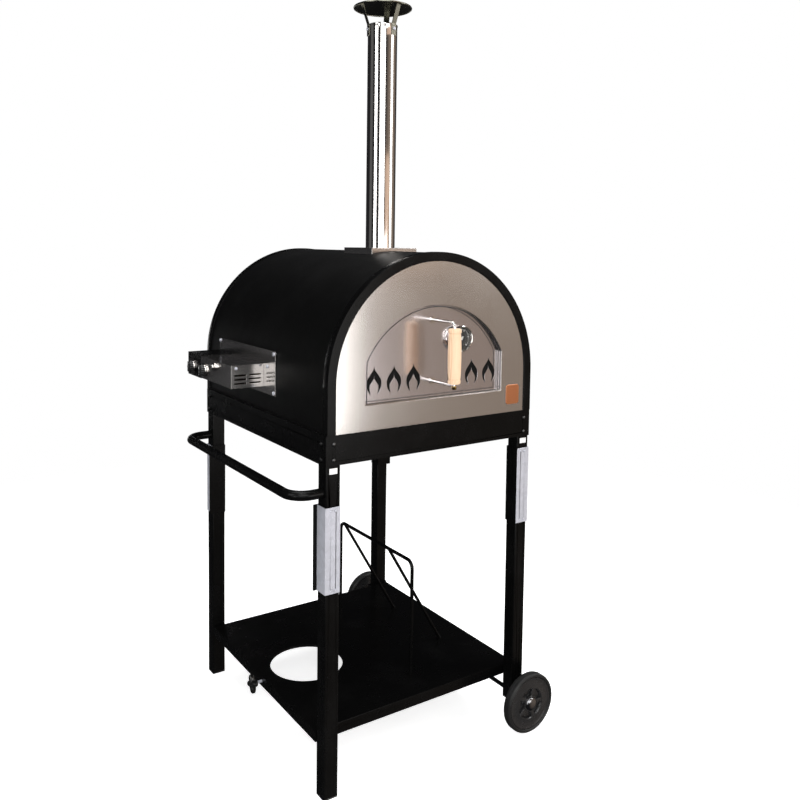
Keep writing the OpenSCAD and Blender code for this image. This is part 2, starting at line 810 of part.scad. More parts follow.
// Bent rod with a flanged foot at both ends
module door_handle() {
    out_y = door_y - grip_reach;
    bend = 18;
    color(zinc) place() translate([handle_x, 0, 0]) {
        for (z = [handle_z0, handle_z1]) rod([0, door_y, z], [0, door_y - 3, z], 18);
        rod([0, door_y + 13, handle_z1], [0, out_y + bend, handle_z1], handle_wire);
        translate([0, out_y + bend, handle_z1 - bend]) rotate([0, -90, 0])
            rotate_extrude(angle = -90) translate([bend, 0]) circle(d = handle_wire, $fn = 32);
        rod([0, out_y, handle_z1 - bend], [0, out_y, handle_z0], handle_wire);
        translate([0, out_y, handle_z0]) sphere(d = handle_wire, $fn = 32);
        rod([0, door_y + 13, handle_z0], [0, out_y, handle_z0], handle_wire);
    }
}

grip_z0 = handle_z0 + 5;
grip_l = 141;
module handle_grip() {
    r = grip_d / 2;
    bore = handle_wire / 2 + 0.1;
    groove = 1.2;
    neck = r - 1.5;
    color([0.87, 0.68, 0.45]) place() translate([handle_x, door_y - grip_reach, grip_z0])
        rotate_extrude($fn = 64)
            polygon([[bore, 0], [r - 4, 0], [neck, 3], [neck, 9], [neck - groove, 10.5], [neck, 12],
                     [r - 0.3, 35], [r, grip_l / 2], [r - 0.3, grip_l - 35], [neck, grip_l - 12],
                     [neck - groove, grip_l - 10.5], [r - 0.8, grip_l - 9], [r - 0.8, grip_l - 3],
                     [r - 3, grip_l], [bore, grip_l]]);
}

// The thermometer's parts are turned about an axis that points out of the door
thermo_out = 24;
spindle_d = 2;
module on_thermo_axis() {
    place() translate([thermo_x, door_y, thermo_z]) rotate([90, 0, 0]) children();
}

module thermometer_case() {
    r = thermo_d / 2;
    color(zinc) on_thermo_axis() {
        rotate_extrude($fn = 96)
            polygon([[0, 2], [r - 6, 2], [r - 2, 6], [r - 2, 14], [r, 16], [r, thermo_out - 2],
                     [r - 2, thermo_out], [r - 4.5, thermo_out], [r - 4.5, 12], [0, 12]]);
        translate([0, 0, -27]) cylinder(h = 30, d = 10);
        cylinder(h = thermo_out - 4.2, d = spindle_d, $fn = 32);
    }
}

module thermometer_dial() {
    color([0.08, 0.08, 0.08]) on_thermo_axis() translate([0, 0, 12]) difference() {
        cylinder(h = 4, d = thermo_d - 9.4, $fn = 96);
        translate([0, 0, -1]) cylinder(h = 6, d = spindle_d + 1.4);
    }
}

module thermometer_needle() {
    color("white") on_thermo_axis() translate([0, 0, 17]) difference() {
        union() {
            cylinder(h = 1.6, d = 7);
            linear_extrude(0.8) rotate(225) polygon([[-8, -1.6], [-8, 1.6], [24, 0.5], [24, -0.5]]);
        }
        translate([0, 0, -1]) cylinder(h = 4, d = spindle_d + 0.1, $fn = 32);
    }
}

module thermometer_glass() {
    color([0.8, 0.9, 0.95, 0.3]) on_thermo_axis() translate([0, 0, thermo_out - 2.6])
        cylinder(h = 1.6, d = thermo_d - 9.2, $fn = 96);
}

apron_frame();
base_tray();
upper_leg(-1, -1);  // upper_leg_front_left
upper_leg(1, -1);  // upper_leg_front_right
upper_leg(-1, 1);  // upper_leg_back_left
upper_leg(1, 1);  // upper_leg_back_right
lower_leg(-1, -1);  // lower_leg_front_left
lower_leg(1, -1);  // lower_leg_front_right
lower_leg(-1, 1);  // lower_leg_back_left
lower_leg(1, 1);  // lower_leg_back_right
leg_sleeves();
splice_plates();
sleeve_screws();
leg_plugs();
foot_caps();
frame_bolts();
shelf();
bottle_rack();
push_bar();
axle();
axle_caps();
tyre(-1);  // front_tyre
wheel_hub(-1);  // front_wheel_hub
tyre(1);  // back_tyre
wheel_hub(1);  // back_wheel_hub
clamp_screw();
clamp_knob();
clamp_shoe();
hearth_stones();
vault_shell();
insulation();
oven_liner();
throat_collar();
front_panel();
back_panel();
arch_rims();
flue_base();
flue_pipe();
rain_cap();
cap_straps();
cap_bolts();
blank_badge();
burner_plate();
plate_bolts();
burner_housing();
control_cover();
knob_bezels();
gas_knob();
flame_knob();
igniter_button();
gas_valve();
burner_tube();
door_panel();
door_core();
door_handle();
handle_grip();
thermometer_case();
thermometer_dial();
thermometer_needle();
thermometer_glass();
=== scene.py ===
"""Looks of a wood fired pizza oven on a wheeled stand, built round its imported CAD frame."""
import json
import math

import bmesh
import bpy
from mathutils import Matrix, Vector


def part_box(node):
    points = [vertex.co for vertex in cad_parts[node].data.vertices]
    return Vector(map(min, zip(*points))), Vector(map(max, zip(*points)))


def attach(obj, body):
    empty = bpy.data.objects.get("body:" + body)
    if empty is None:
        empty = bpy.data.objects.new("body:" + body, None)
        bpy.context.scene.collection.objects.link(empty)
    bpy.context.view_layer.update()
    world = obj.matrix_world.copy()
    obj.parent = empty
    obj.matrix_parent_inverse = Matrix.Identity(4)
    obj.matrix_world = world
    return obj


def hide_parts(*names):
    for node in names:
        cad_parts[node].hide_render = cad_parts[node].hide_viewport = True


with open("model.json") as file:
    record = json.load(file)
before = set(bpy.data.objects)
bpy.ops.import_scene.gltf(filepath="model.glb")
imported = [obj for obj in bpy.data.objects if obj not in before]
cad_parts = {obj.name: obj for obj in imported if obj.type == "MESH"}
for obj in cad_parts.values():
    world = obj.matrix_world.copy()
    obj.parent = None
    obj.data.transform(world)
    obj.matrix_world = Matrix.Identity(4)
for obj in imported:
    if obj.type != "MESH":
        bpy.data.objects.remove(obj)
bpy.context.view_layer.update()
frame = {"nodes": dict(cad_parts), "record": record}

X = Vector((1, 0, 0))
Y = Vector((0, 1, 0))
Z = Vector((0, 0, 1))
MM = 0.001
STAND = "oven_on_stand"

# Rounds, in mm, on the sheet edges of the CAD nodes whose names start so.
SOFT_EDGES = {
    "apron_frame": 0.8, "base_tray": 0.8, "arch_rims": 0.8, "shelf": 1.0, "upper_leg": 1.2,
    "lower_leg": 1.2, "leg_sleeves": 0.7, "front_panel": 0.4, "door_panel": 0.4,
    "burner_plate": 0.6, "burner_housing": 0.6, "control_cover": 0.8, "flue_base": 0.8,
    "blank_badge": 0.4, "foot_caps": 1.0,
}


# ---- camera, floor and light ----

def look_through_camera():
    """Puts the camera in front of the oven's left side, a little above the door."""
    place = Vector((-1.2678, -2.0955, 1.3845))
    yaw, pitch, roll = (math.radians(a) for a in (-34.2, -3.9, 0.75))
    data = bpy.data.cameras.new("camera")
    data.sensor_width = 36
    data.lens = 37.41
    data.shift_y = -0.125
    camera = bpy.data.objects.new("camera", data)
    turn = Matrix.Rotation(yaw, 4, "Z") @ Matrix.Rotation(math.pi / 2 + pitch, 4, "X")
    camera.matrix_world = Matrix.Translation(place) @ turn @ Matrix.Rotation(roll, 4, "Z")
    bpy.context.scene.collection.objects.link(camera)
    bpy.context.scene.camera = camera


def softbox(name, azimuth, distance, width, low, high, radiance, colour=(1, 1, 1)):
    """A soft upright panel of light. Azimuth 0 is in front of the door and 90 to its right."""
    angle = math.radians(azimuth)
    place = Vector((math.sin(angle), -math.cos(angle), 0)) * distance + Z * (low + high) / 2
    shine(name, place, Vector((0, 0, place.z)), (width, high - low), radiance, colour)


def shine(name, place, aim, size, radiance, colour=(1, 1, 1)):
    """A rectangular area light at place, facing aim, as bright as radiance says."""
    data = bpy.data.lights.new(name, "AREA")
    data.shape = "RECTANGLE"
    data.size, data.size_y = size
    data.energy = radiance * math.pi * size[0] * size[1]
    data.color = colour
    light = bpy.data.objects.new(name, data)
    turn = (aim - place).to_track_quat("-Z", "Y").to_matrix().to_4x4()
    light.matrix_world = Matrix.Translation(place) @ turn
    light.visible_camera = False
    bpy.context.scene.collection.objects.link(light)


def build_room():
    """A dim room that is warm to the right of the door. The camera sees a white backdrop instead."""
    world = bpy.data.worlds.new("studio")
    bpy.context.scene.world = world
    world.use_nodes = True
    tree = world.node_tree
    tree.nodes.clear()
    way = tree.nodes.new("ShaderNodeTexCoord")
    toward = tree.nodes.new("ShaderNodeVectorMath")
    toward.operation = "DOT_PRODUCT"
    toward.inputs[1].default_value = (0.80, -0.60, 0.0)
    share = tree.nodes.new("ShaderNodeMapRange")
    share.inputs["From Min"].default_value = 0.6
    share.inputs["From Max"].default_value = 0.95
    tint = tree.nodes.new("ShaderNodeMix")
    tint.data_type = "RGBA"
    tint.inputs[6].default_value = (0.02, 0.02, 0.022, 1)
    tint.inputs[7].default_value = (0.31, 0.25, 0.205, 1)
    room = tree.nodes.new("ShaderNodeBackground")
    backdrop = tree.nodes.new("ShaderNodeBackground")
    backdrop.inputs["Color"].default_value = (1, 1, 1, 1)
    path = tree.nodes.new("ShaderNodeLightPath")
    mix = tree.nodes.new("ShaderNodeMixShader")
    out = tree.nodes.new("ShaderNodeOutputWorld")
    for source, target in (
        (way.outputs["Generated"], toward.inputs[0]),
        (toward.outputs["Value"], share.inputs["Value"]),
        (share.outputs[0], tint.inputs[0]),
        (tint.outputs[2], room.inputs["Color"]),
        (path.outputs["Is Camera Ray"], mix.inputs[0]),
        (room.outputs[0], mix.inputs[1]),
        (backdrop.outputs[0], mix.inputs[2]),
        (mix.outputs[0], out.inputs["Surface"]),
    ):
        tree.links.new(source, target)


def light_studio():
    """Softboxes round the oven: high ones light the pipe's streaks, low ones the steel front."""
    bpy.context.scene.view_settings.view_transform = "Standard"
    high = (1.3, 3.6)
    low = (0.1, 1.25)
    side = (0.2, 1.2)
    softbox("tall_left", -76, 3.4, 1.2, *high, 4.0)
    softbox("tall_front", -26, 3.4, 2.3, *high, 3.8)
    softbox("tall_right", 51, 3.4, 1.15, *high, 3.0)
    softbox("tall_dim", -118, 3.4, 1.6, *high, 0.10)
    softbox("peach", 17, 3.6, 2.2, 1.3, 2.0, 0.62, (1, 0.70, 0.52))
    softbox("low_left", -32, 3.4, 1.6, *low, 1.3)
    softbox("low_front", 9, 3.4, 1.8, 0.1, 1.42, 3.0)
    softbox("low_edge", -58, 3.4, 0.5, *low, 5.0)
    softbox("low_behind", -147, 3.55, 0.5, *low, 0.09)
    softbox("low_right", 100, 3.4, 1.6, *side, 1.6)
    softbox("low_back", 180, 3.4, 1.6, *side, 1.6)
    shine("high_right", Vector((2.1, -1.3, 3.4)), Vector((0, 0, 0.4)), (0.9, 0.9), 14.0)
    shine("high_left", Vector((-1.4, -1.8, 4.2)), Vector((0, 0, 1.0)), (0.9, 0.9), 10.0)
    shine("top", Vector((0.2, 0.1, 4.8)), Vector((0, 0, 0)), (3.2, 3.2), 4.0)


def lay_floor():
    """A pale floor that fades into the backdrop away from the oven."""
    mesh = bpy.data.meshes.new("floor")
    reach = 8.0
    corners = [(-reach, -reach, 0), (reach, -reach, 0), (reach, reach, 0), (-reach, reach, 0)]
    mesh.from_pydata(corners, [], [(0, 1, 2, 3)])
    floor = bpy.data.objects.new("floor", mesh)
    bpy.context.scene.collection.objects.link(floor)
    g = Graph("floor_white", (0.9, 0.9, 0.9), 0.7, Specular_IOR_Level=0.2, Emission_Strength=0.75)
    g.shader.inputs["Emission Color"].default_value = (1, 1, 1, 1)
    away = g.node("ShaderNodeVectorMath", {0: g.place}, operation="LENGTH").outputs["Value"]
    solid_to, gone_at = 1.0, 3.0
    g.link(g.spread(away, 1.0, 0.0, solid_to, gone_at), "Alpha")
    mesh.materials.append(g.material)
    floor.visible_glossy = False


# ---- materials ----

class Graph:
    """A material with one Principled shader, and short calls that add nodes in front of it."""

    def __init__(self, name, colour, roughness, metallic=0.0, **uniform):
        self.material = bpy.data.materials.new(name)
        self.material.use_nodes = True
        self.tree = self.material.node_tree
        self.shader = self.tree.nodes["Principled BSDF"]
        self.shader.inputs["Base Color"].default_value = (*colour, 1)
        self.shader.inputs["Roughness"].default_value = roughness
        self.shader.inputs["Metallic"].default_value = metallic
        for key, value in uniform.items():
            self.shader.inputs[key.replace("_", " ")].default_value = value
        self.place = self.node("ShaderNodeTexCoord").outputs["Object"]

    def node(self, kind, inputs=None, **settings):
        """Adds a node, with settings for its own values and inputs for its sockets."""
        made = self.tree.nodes.new(kind)
        for key, value in settings.items():
            setattr(made, key, value)
        for key, value in (inputs or {}).items():
            if isinstance(value, bpy.types.NodeSocket):
                self.tree.links.new(value, made.inputs[key])
            else:
                made.inputs[key].default_value = value
        return made

    def stretched(self, scale):
        """The object's own coordinates, scaled."""
        return self.node("ShaderNodeMapping", {"Vector": self.place, "Scale": scale}).outputs[0]

    def noise(self, scale, detail=3.0, stretch=(1, 1, 1)):
        values = {"Vector": self.stretched(stretch), "Scale": scale, "Detail": detail}
        return self.node("ShaderNodeTexNoise", values).outputs[0]

    def spread(self, value, low, high, start=0.3, stop=0.7):
        """Maps start..stop of value onto low..high."""
        made = self.node("ShaderNodeMapRange", {0: value, 1: start, 2: stop, 3: low, 4: high})
        return made.outputs[0]

    def math(self, operation, a, b=0.0):
        return self.node("ShaderNodeMath", {0: a, 1: b}, operation=operation).outputs[0]

    def mixture(self, a, b, share):
        """The sum of share of a and the rest of b."""
        return self.math("ADD", self.math("MULTIPLY", a, share), self.math("MULTIPLY", b, 1 - share))

    def blend(self, share, first, second):
        """A colour between first and second."""
        mix = self.node("ShaderNodeMix", data_type="RGBA")
        for index, value in ((0, share), (6, first), (7, second)):
            if isinstance(value, bpy.types.NodeSocket):
                self.tree.links.new(value, mix.inputs[index])
            else:
                mix.inputs[index].default_value = value if index == 0 else (*value, 1)
        return mix.outputs[2]

    def link(self, socket, name):
        self.tree.links.new(socket, self.shader.inputs[name])
        return self

    def bump(self, height, strength, distance=0.001):
        values = {"Height": height, "Strength": strength, "Distance": distance}
        return self.link(self.node("ShaderNodeBump", values).outputs[0], "Normal")


def paint(name, colour, low, high, peel):
    """Gloss paint: orange peel, a little dust and uneven gloss."""
    g = Graph(name, colour, low, Specular_IOR_Level=0.14)
    dust = g.spread(g.noise(9, 5), 0, 1, 0.5, 0.8)
    g.link(g.blend(dust, colour, tuple(c * 1.6 + 0.001 for c in colour)), "Base Color")
    g.link(g.spread(g.noise(22, 6), low, high), "Roughness")
    return g.bump(g.noise(420, 2), peel, 0.0004)


def brushed(name, colour, low, high, grain):
    """Brushed sheet metal, with fine scratches along the axis where grain is small."""
    g = Graph(name, colour, low, 1.0)
    lines = g.noise(900, 4, grain)
    patches = g.noise(3.5, 2)
    tone = g.mixture(lines, patches, 0.15)
    g.link(g.blend(g.spread(lines, 0, 1), tuple(c * 0.95 for c in colour), colour), "Base Color")
    g.link(g.spread(tone, low, high), "Roughness")
    return g.bump(lines, 0.004, 0.0001)


def polished(name, colour, low, high, grain=(1, 1, 0.02)):
    """Mirror-like metal with faint drawing lines."""
    g = Graph(name, colour, low, 1.0)
    lines = g.noise(260, 3, grain)
    g.link(g.spread(lines, low, high), "Roughness")
    g.link(g.blend(g.spread(g.noise(8, 4), 0, 1), tuple(c * 0.94 for c in colour), colour), "Base Color")
    return g.bump(lines, 0.03, 0.0002)


def galvanised(name, colour):
    """Zinc with spangles: flat crystals of different brightness."""
    g = Graph(name, colour, 0.4, 0.4)
    cells = g.node("ShaderNodeTexVoronoi", {"Vector": g.place, "Scale": 85})
    clouds = g.noise(38, 5)
    tone = g.mixture(cells.outputs["Color"], clouds, 0.4)
    g.link(g.blend(g.spread(tone, 0, 1), tuple(c * 0.84 for c in colour), colour), "Base Color")
    g.link(g.spread(tone, 0.5, 0.34), "Roughness")
    return g.bump(clouds, 0.08, 0.0003)


def plastic(name, colour, roughness, grain=700):
    """Moulded plastic or rubber with a fine skin."""
    g = Graph(name, colour, roughness)
    patches = g.noise(30, 4)
    g.link(g.spread(patches, roughness * 0.85, min(1, roughness * 1.2)), "Roughness")
    g.link(g.blend(g.spread(patches, 0, 1), tuple(c * 0.85 for c in colour), colour), "Base Color")
    return g.bump(g.noise(grain, 3), 0.12, 0.0003)


def stone(name, colour):
    """Cast refractory clay with pores and darker grit."""
    g = Graph(name, colour, 0.92)
    grit = g.noise(160, 6)
    burn = g.noise(6, 4)
    tone = g.blend(g.spread(grit, 0, 1), tuple(c * 0.72 for c in colour), colour)
    g.link(g.blend(g.spread(burn, 0, 0.5, 0.45, 0.8), tone, (0.12, 0.10, 0.08)), "Base Color")
    return g.bump(grit, 0.5, 0.001)


def wood(name, pale, dark):
    """Turned pine with its grain along Z."""
    g = Graph(name, pale, 0.42, Coat_Weight=0.15, Coat_Roughness=0.25)
    bent = g.noise(18, 2, (1, 1, 0.12))
    waves = {"Vector": g.stretched((1, 1, 0.06)), "Scale": 120, "Distortion": 5.0, "Detail": 3.0}
    rings = g.node("ShaderNodeTexWave", waves).outputs[1]
    fibre = g.noise(500, 4, (1, 1, 0.03))
    tone = g.mixture(rings, bent, 0.55)
    early = g.blend(g.spread(tone, 0, 1, 0.25, 0.85), pale, dark)
    streaks = g.spread(fibre, 0, 0.4, 0.5, 0.75)
    g.link(g.blend(streaks, early, tuple(c * 0.8 for c in dark)), "Base Color")
    g.link(g.spread(fibre, 0.36, 0.55), "Roughness")
    return g.bump(fibre, 0.15, 0.0003)


def glass(name):
    """Clear window glass, thin enough to show the dial behind it."""
    return Graph(name, (1, 1, 1), 0.02, Transmission_Weight=1.0, IOR=1.45, Alpha=0.15)


def make_finishes():
    """One material for each slot of the record."""
    steel = (0.68, 0.655, 0.635)
    made = {
        "black_powder_coat": paint("black_paint", (0.002, 0.002, 0.002), 0.22, 0.29, 0.08),
        "vault_black": paint("vault_paint", (0.0016, 0.0016, 0.0016), 0.42, 0.48, 0.08),
        "brushed_stainless": brushed("brushed_steel", steel, 0.16, 0.22, (0.02, 1, 1)),
        "polished_stainless": polished("polished_steel", (0.76, 0.73, 0.70), 0.06, 0.14),
        "zinc_bright": galvanised("galvanised_steel", (0.60, 0.61, 0.675)),
        "white_plastic": plastic("white_plastic", (0.85, 0.85, 0.84), 0.35),
        "black_plastic": plastic("black_plastic", (0.012, 0.012, 0.012), 0.3),
        "wheel_plastic": plastic("wheel_plastic", (0.014, 0.014, 0.0145), 0.24),
        "tyre_rubber": plastic("tyre_rubber", (0.007, 0.007, 0.007), 0.5, 500),
        "refractory": stone("hearth_clay", (0.60, 0.52, 0.42)),
        "mineral_wool": stone("mineral_wool", (0.66, 0.63, 0.57)),
        "copper_plate": brushed("copper_tone", (0.80, 0.33, 0.16), 0.25, 0.36, (0.02, 1, 1)),
        "brass_fitting": polished("brass", (0.72, 0.52, 0.22), 0.16, 0.28),
        "turned_wood": wood("pine", (0.88, 0.64, 0.44), (0.74, 0.47, 0.28)),
        "dial_black": plastic("dial_black", (0.012, 0.012, 0.012), 0.45),
        "needle_white": plastic("dial_white", (0.85, 0.85, 0.82), 0.4),
        "clear_glass": glass("clear_glass"),
    }
    return {slot: graph.material for slot, graph in made.items()}


FINISH = make_finishes()

# Finishes of single pieces that look unlike the rest of their slot. The door's and the rain cap's are
# painted light: a lighter and a darker copy of the stainless, standing in for how light falls on those
# pieces.
# Painted light: the door's steel is a lighter, lilac-tinted copy of the panel's brushed steel, for the
# different light the door catches. Its upright brushing is real.
LIT_DOOR_STEEL = brushed("door_steel_lit_copy", (0.73, 0.69, 0.705), 0.15, 0.2, (1, 1, 0.02)).material
DARK_CHROME = polished("dark_chrome", (0.30, 0.30, 0.31), 0.10, 0.18).material
BOLT_STEEL = polished("bolt_steel", (0.10, 0.10, 0.10), 0.3, 0.42).material
# Painted shade: a dark olive copy of the polished stainless, standing in for the dark reflection seen under
# the rain cap and on its straps.
SHADED_CAP_STEEL = polished("cap_steel_painted_shade", (0.20, 0.195, 0.16), 0.2, 0.3).material
GLOSS_BLACK = plastic("gloss_black", (0.008, 0.008, 0.008), 0.12).material


def dress_frame():
    """Gives every CAD node its slot's material, and a small round on its sheet edges."""
    slots = {part["node"]: part["material_slot"] for part in frame["record"]["subparts"]}
    for name, obj in frame["nodes"].items():
        obj.data.materials.clear()
        obj.data.materials.append(FINISH[slots[name]])
    # The door gets the lighter copy of the steel: painted light on the door.
    frame["nodes"]["door_panel"].data.materials[0] = LIT_DOOR_STEEL
    # The cap straps get the darkened copy of the stainless: painted shade.
    frame["nodes"]["cap_straps"].data.materials[0] = SHADED_CAP_STEEL
    for name in ("frame_bolts", "axle"):
        frame["nodes"][name].data.materials[0] = BOLT_STEEL
    for name, width in SOFT_EDGES.items():
        for obj in (o for n, o in frame["nodes"].items() if n.startswith(name)):
            weld = obj.modifiers.new("weld", "WELD")
            weld.merge_threshold = 0.00001
            bevel = obj.modifiers.new("edges", "BEVEL")
            bevel.width = width * MM
            bevel.segments = 2
            bevel.limit_method = "ANGLE"
            bevel.angle_limit = math.radians(50)
            bevel.use_clamp_overlap = False


# ---- shapes ----

def centre(node):
    """The middle of a node's box."""
    low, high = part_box(node)
    return (low + high) / 2


def foot(node):
    """The middle of the underside of a node's box."""
    low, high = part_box(node)
    return Vector(((low.x + high.x) / 2, (low.y + high.y) / 2, low.z))


def mirrored(half):
    """A closed (radius, height) outline from its half above height 0."""
    return half + [(radius, -height) for radius, height in reversed(half)]


def turned(bm, profile, origin, axis, steps=96, shape=None, closed=False):
    """Turns (radius, height) points, in mm, about an axis. Shape alters a radius by its angle."""
    axis = Vector(axis)
    side = Z if abs(axis.z) < 0.5 else X
    other = axis.cross(side)
    rings = []
    for radius, height in profile:
        base = origin + axis * height * MM
        if radius == 0:
            rings.append([bm.verts.new(base)])
            continue
        ring = []
        for step in range(steps):
            angle = 2 * math.pi * step / steps
            reach = (shape(angle, radius, height) if shape else radius) * MM
            ring.append(bm.verts.new(base + (side * math.cos(angle) + other * math.sin(angle)) * reach))
        rings.append(ring)
    pairs = list(zip(rings, rings[1:]))
    if closed:
        pairs.append((rings[-1], rings[0]))
    for one, two in pairs:
        for step in range(steps):
            after = (step + 1) % steps
            if len(one) == 1:
                bm.faces.new((one[0], two[step], two[after]))
            elif len(two) == 1:
                bm.faces.new((one[step], two[0], one[after]))
            else:
                bm.faces.new((one[step], two[step], two[after], one[after]))


def bar(bm, start, stop, wide, tall, width, height, bevel=0.0, taper=1.0):
    """A straight bar from start to stop. Width is along wide and height along tall, in mm."""
    corners = []
    for end, share in ((start, 1.0), (stop, taper)):
        for a, b in ((-1, -1), (1, -1), (1, 1), (-1, 1)):
            sideways = wide * a * width * share * MM / 2
            corners.append(bm.verts.new(end + sideways + tall * b * height * MM / 2))
    sides = [(0, 1, 2, 3), (4, 5, 6, 7)]
    sides += [(i, (i + 1) % 4, 4 + (i + 1) % 4, 4 + i) for i in range(4)]
    faces = [bm.faces.new([corners[i] for i in side]) for side in sides]
    if bevel:
        edges = list({edge for face in faces for edge in face.edges})
        bmesh.ops.bevel(bm, geom=edges, offset=bevel * MM, segments=3, profile=0.5, affect="EDGES")


def keep(name, bm, body, slot, *nodes, finish=None, crease=32):
    """Turns a bmesh into a piece that rides on a body and may stand for CAD nodes."""
    bmesh.ops.recalc_face_normals(bm, faces=bm.faces)
    mesh = bpy.data.meshes.new(name)
    bm.to_mesh(mesh)
    bm.free()
    mesh.shade_smooth()
    mesh.set_sharp_from_angle(angle=math.radians(crease))
    mesh.materials.append(finish or FINISH[slot])
    obj = bpy.data.objects.new(name, mesh)
    bpy.context.scene.collection.objects.link(obj)
    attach(obj, body)
    if nodes:
        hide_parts(*nodes)
    return obj


# ---- wheels ----

def build_wheel(end, side):
    """A moulded wheel: thin tyre, flat ring, five pockets between ribs, and a tall boss."""
    body = end + "_wheel"
    middle = centre(end + "_tyre")
    low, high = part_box(end + "_tyre")
    r = (high.z - low.z) / 2 / MM
    h = (high.y - low.y) / 2 / MM
    out = Y * side
    tread = [(r - 10, h - 2), (r - 8, h), (r - 5.5, h - 0.1), (r - 4.5, h - 0.9), (r - 3, h - 0.4),
             (r - 0.8, h - 2.2), (r, h - 5), (r, 2), (r - 1, 1.4)]
    bm = bmesh.new()
    turned(bm, mirrored(tread), middle, out, 128, closed=True)
    keep(end + "_tyre_detailed", bm, body, "tyre_rubber", end + "_tyre")
    disc = [(r - 10.4, h - 3.2), (r - 11.4, h - 2), (r - 15, h - 1.8), (r - 16.5, h - 2.8)]
    ring = [(49, h - 2.8), (47, h - 1.8), (44, h - 1.8), (42.5, h - 3)]
    pocket = [(40, 2), (24.5, 2), (23, 4)]
    boss = [(22.5, h - 1.2), (21, h), (6.1, h)]
    bm = bmesh.new()
    turned(bm, mirrored(disc + ring + pocket + boss), middle, out, 128, closed=True)
    ribs = 5
    for rib in range(ribs):
        angle = 2 * math.pi * (rib + 0.25) / ribs
        away = Z * math.cos(angle) + X * math.sin(angle)
        across = out.cross(away)
        for face in (-1, 1):
            level = middle + out * face * (h - 7) * MM
            inner = level + away * 19 * MM
            outer = level + away * 45 * MM
            bar(bm, inner, outer, across, out, 13, 9, bevel=1.2, taper=0.75)
    keep(end + "_hub_detailed", bm, body, "wheel_plastic", end + "_wheel_hub")


def build_axle_caps():
    """Domed push-on caps at both ends of the axle."""
    low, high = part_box("axle_caps")
    wheel = centre("front_tyre")
    dome = [(0, 0), (5, 0.15), (11, 1.1), (15.4, 2.8), (18, 4.8), (19, 6.6), (19, 7.5),
            (6.1, 7.5), (6.1, 2.8), (0, 2.8)]
    bm = bmesh.new()
    for side, end in ((-1, low.y), (1, high.y)):
        turned(bm, dome, Vector((wheel.x, end, wheel.z)), Y * -side, 64)
    keep("axle_caps_domed", bm, STAND, "zinc_bright", "axle_caps", finish=DARK_CHROME)


# ---- door fittings ----

def build_grip():
    """A turned wooden grip: slight barrel, a groove near each end and a scalloped lower collar."""
    origin = foot("handle_grip")
    collar = [(4.1, 0), (12.6, 0), (15.4, 1.1), (16.4, 3.2), (16.4, 9.2), (15.6, 11), (14.5, 12)]
    barrel = [(14.5, 12.8), (15.8, 13.8), (16.4, 24), (17.1, 45), (17.4, 70), (17.1, 95),
              (16.4, 116), (15.8, 126.6), (14.6, 127.6)]
    top = [(14.6, 128.4), (16.1, 129.4), (16.8, 131.5), (16.8, 136.5), (15.8, 139.4),
           (12.4, 141), (4.1, 141)]

    def scallops(angle, radius, height):
        if 1 < height < 10 and radius > 12:
            return radius - 0.7 * (1 + math.cos(13 * angle))
        return radius

    bm = bmesh.new()
    turned(bm, collar + barrel + top, origin, Z, 156, scallops, closed=True)
    keep("grip_turned", bm, "door", "turned_wood", "handle_grip")
    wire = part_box("door_handle")[0].z
    nut = [(0, -3.4), (2.8, -3.1), (5, -2), (6.3, 0), (6.6, 7), (0, 7)]
    bm = bmesh.new()
    turned(bm, nut, Vector((origin.x, origin.y, wire + 2 * MM)), Z, 32)
    keep("grip_end_nut", bm, "door", "brass_fitting")


def build_door_gap_shadow():
    """A thin black bead on the panel round the door, along the CAD door's own outline: painted shade, a
    dark line standing in for the shadowed gap between door and panel.
    """
    face = frame["nodes"]["door_panel"].data
    points = sorted({(round(v.co.x, 5), round(v.co.z, 5)) for v in face.vertices})

    def half_hull(order):
        """One side of the convex outline round points in this order."""
        line = []
        for x, z in order:
            while len(line) > 1 and ((line[-1][0] - line[-2][0]) * (z - line[-2][1])
                                     <= (line[-1][1] - line[-2][1]) * (x - line[-2][0])):
                line.pop()
            line.append((x, z))
        return line[:-1]

    outline = [Vector((x, 0, z)) for x, z in half_hull(points) + half_hull(points[::-1])]
    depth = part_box("front_panel")[0].y + 0.2 * MM
    gap = 3 * MM
    bead = 1.1 * MM
    sides = 10
    turns = [2 * math.pi * step / sides for step in range(sides)]
    bm = bmesh.new()
    rings = []
    for index, point in enumerate(outline):
        before = (point - outline[index - 1]).normalized()
        after = (outline[(index + 1) % len(outline)] - point).normalized()
        away = (before + after).normalized().cross(Y)
        away *= 1 / max(0.5, away.dot(before.cross(Y)))
        base = point + away * gap
        base.y = depth
        rings.append([bm.verts.new(base + (away * math.cos(turn) - Y * math.sin(turn)) * bead)
                      for turn in turns])
    for one, two in zip(rings, rings[1:] + rings[:1]):
        for step in range(sides):
            after = (step + 1) % sides
            bm.faces.new((one[step], two[step], two[after], one[after]))
    # The bead is painted shade: a black line for the shadowed gap round the door.
    keep("door_gap_shadow_bead", bm, STAND, "black_plastic", crease=60)


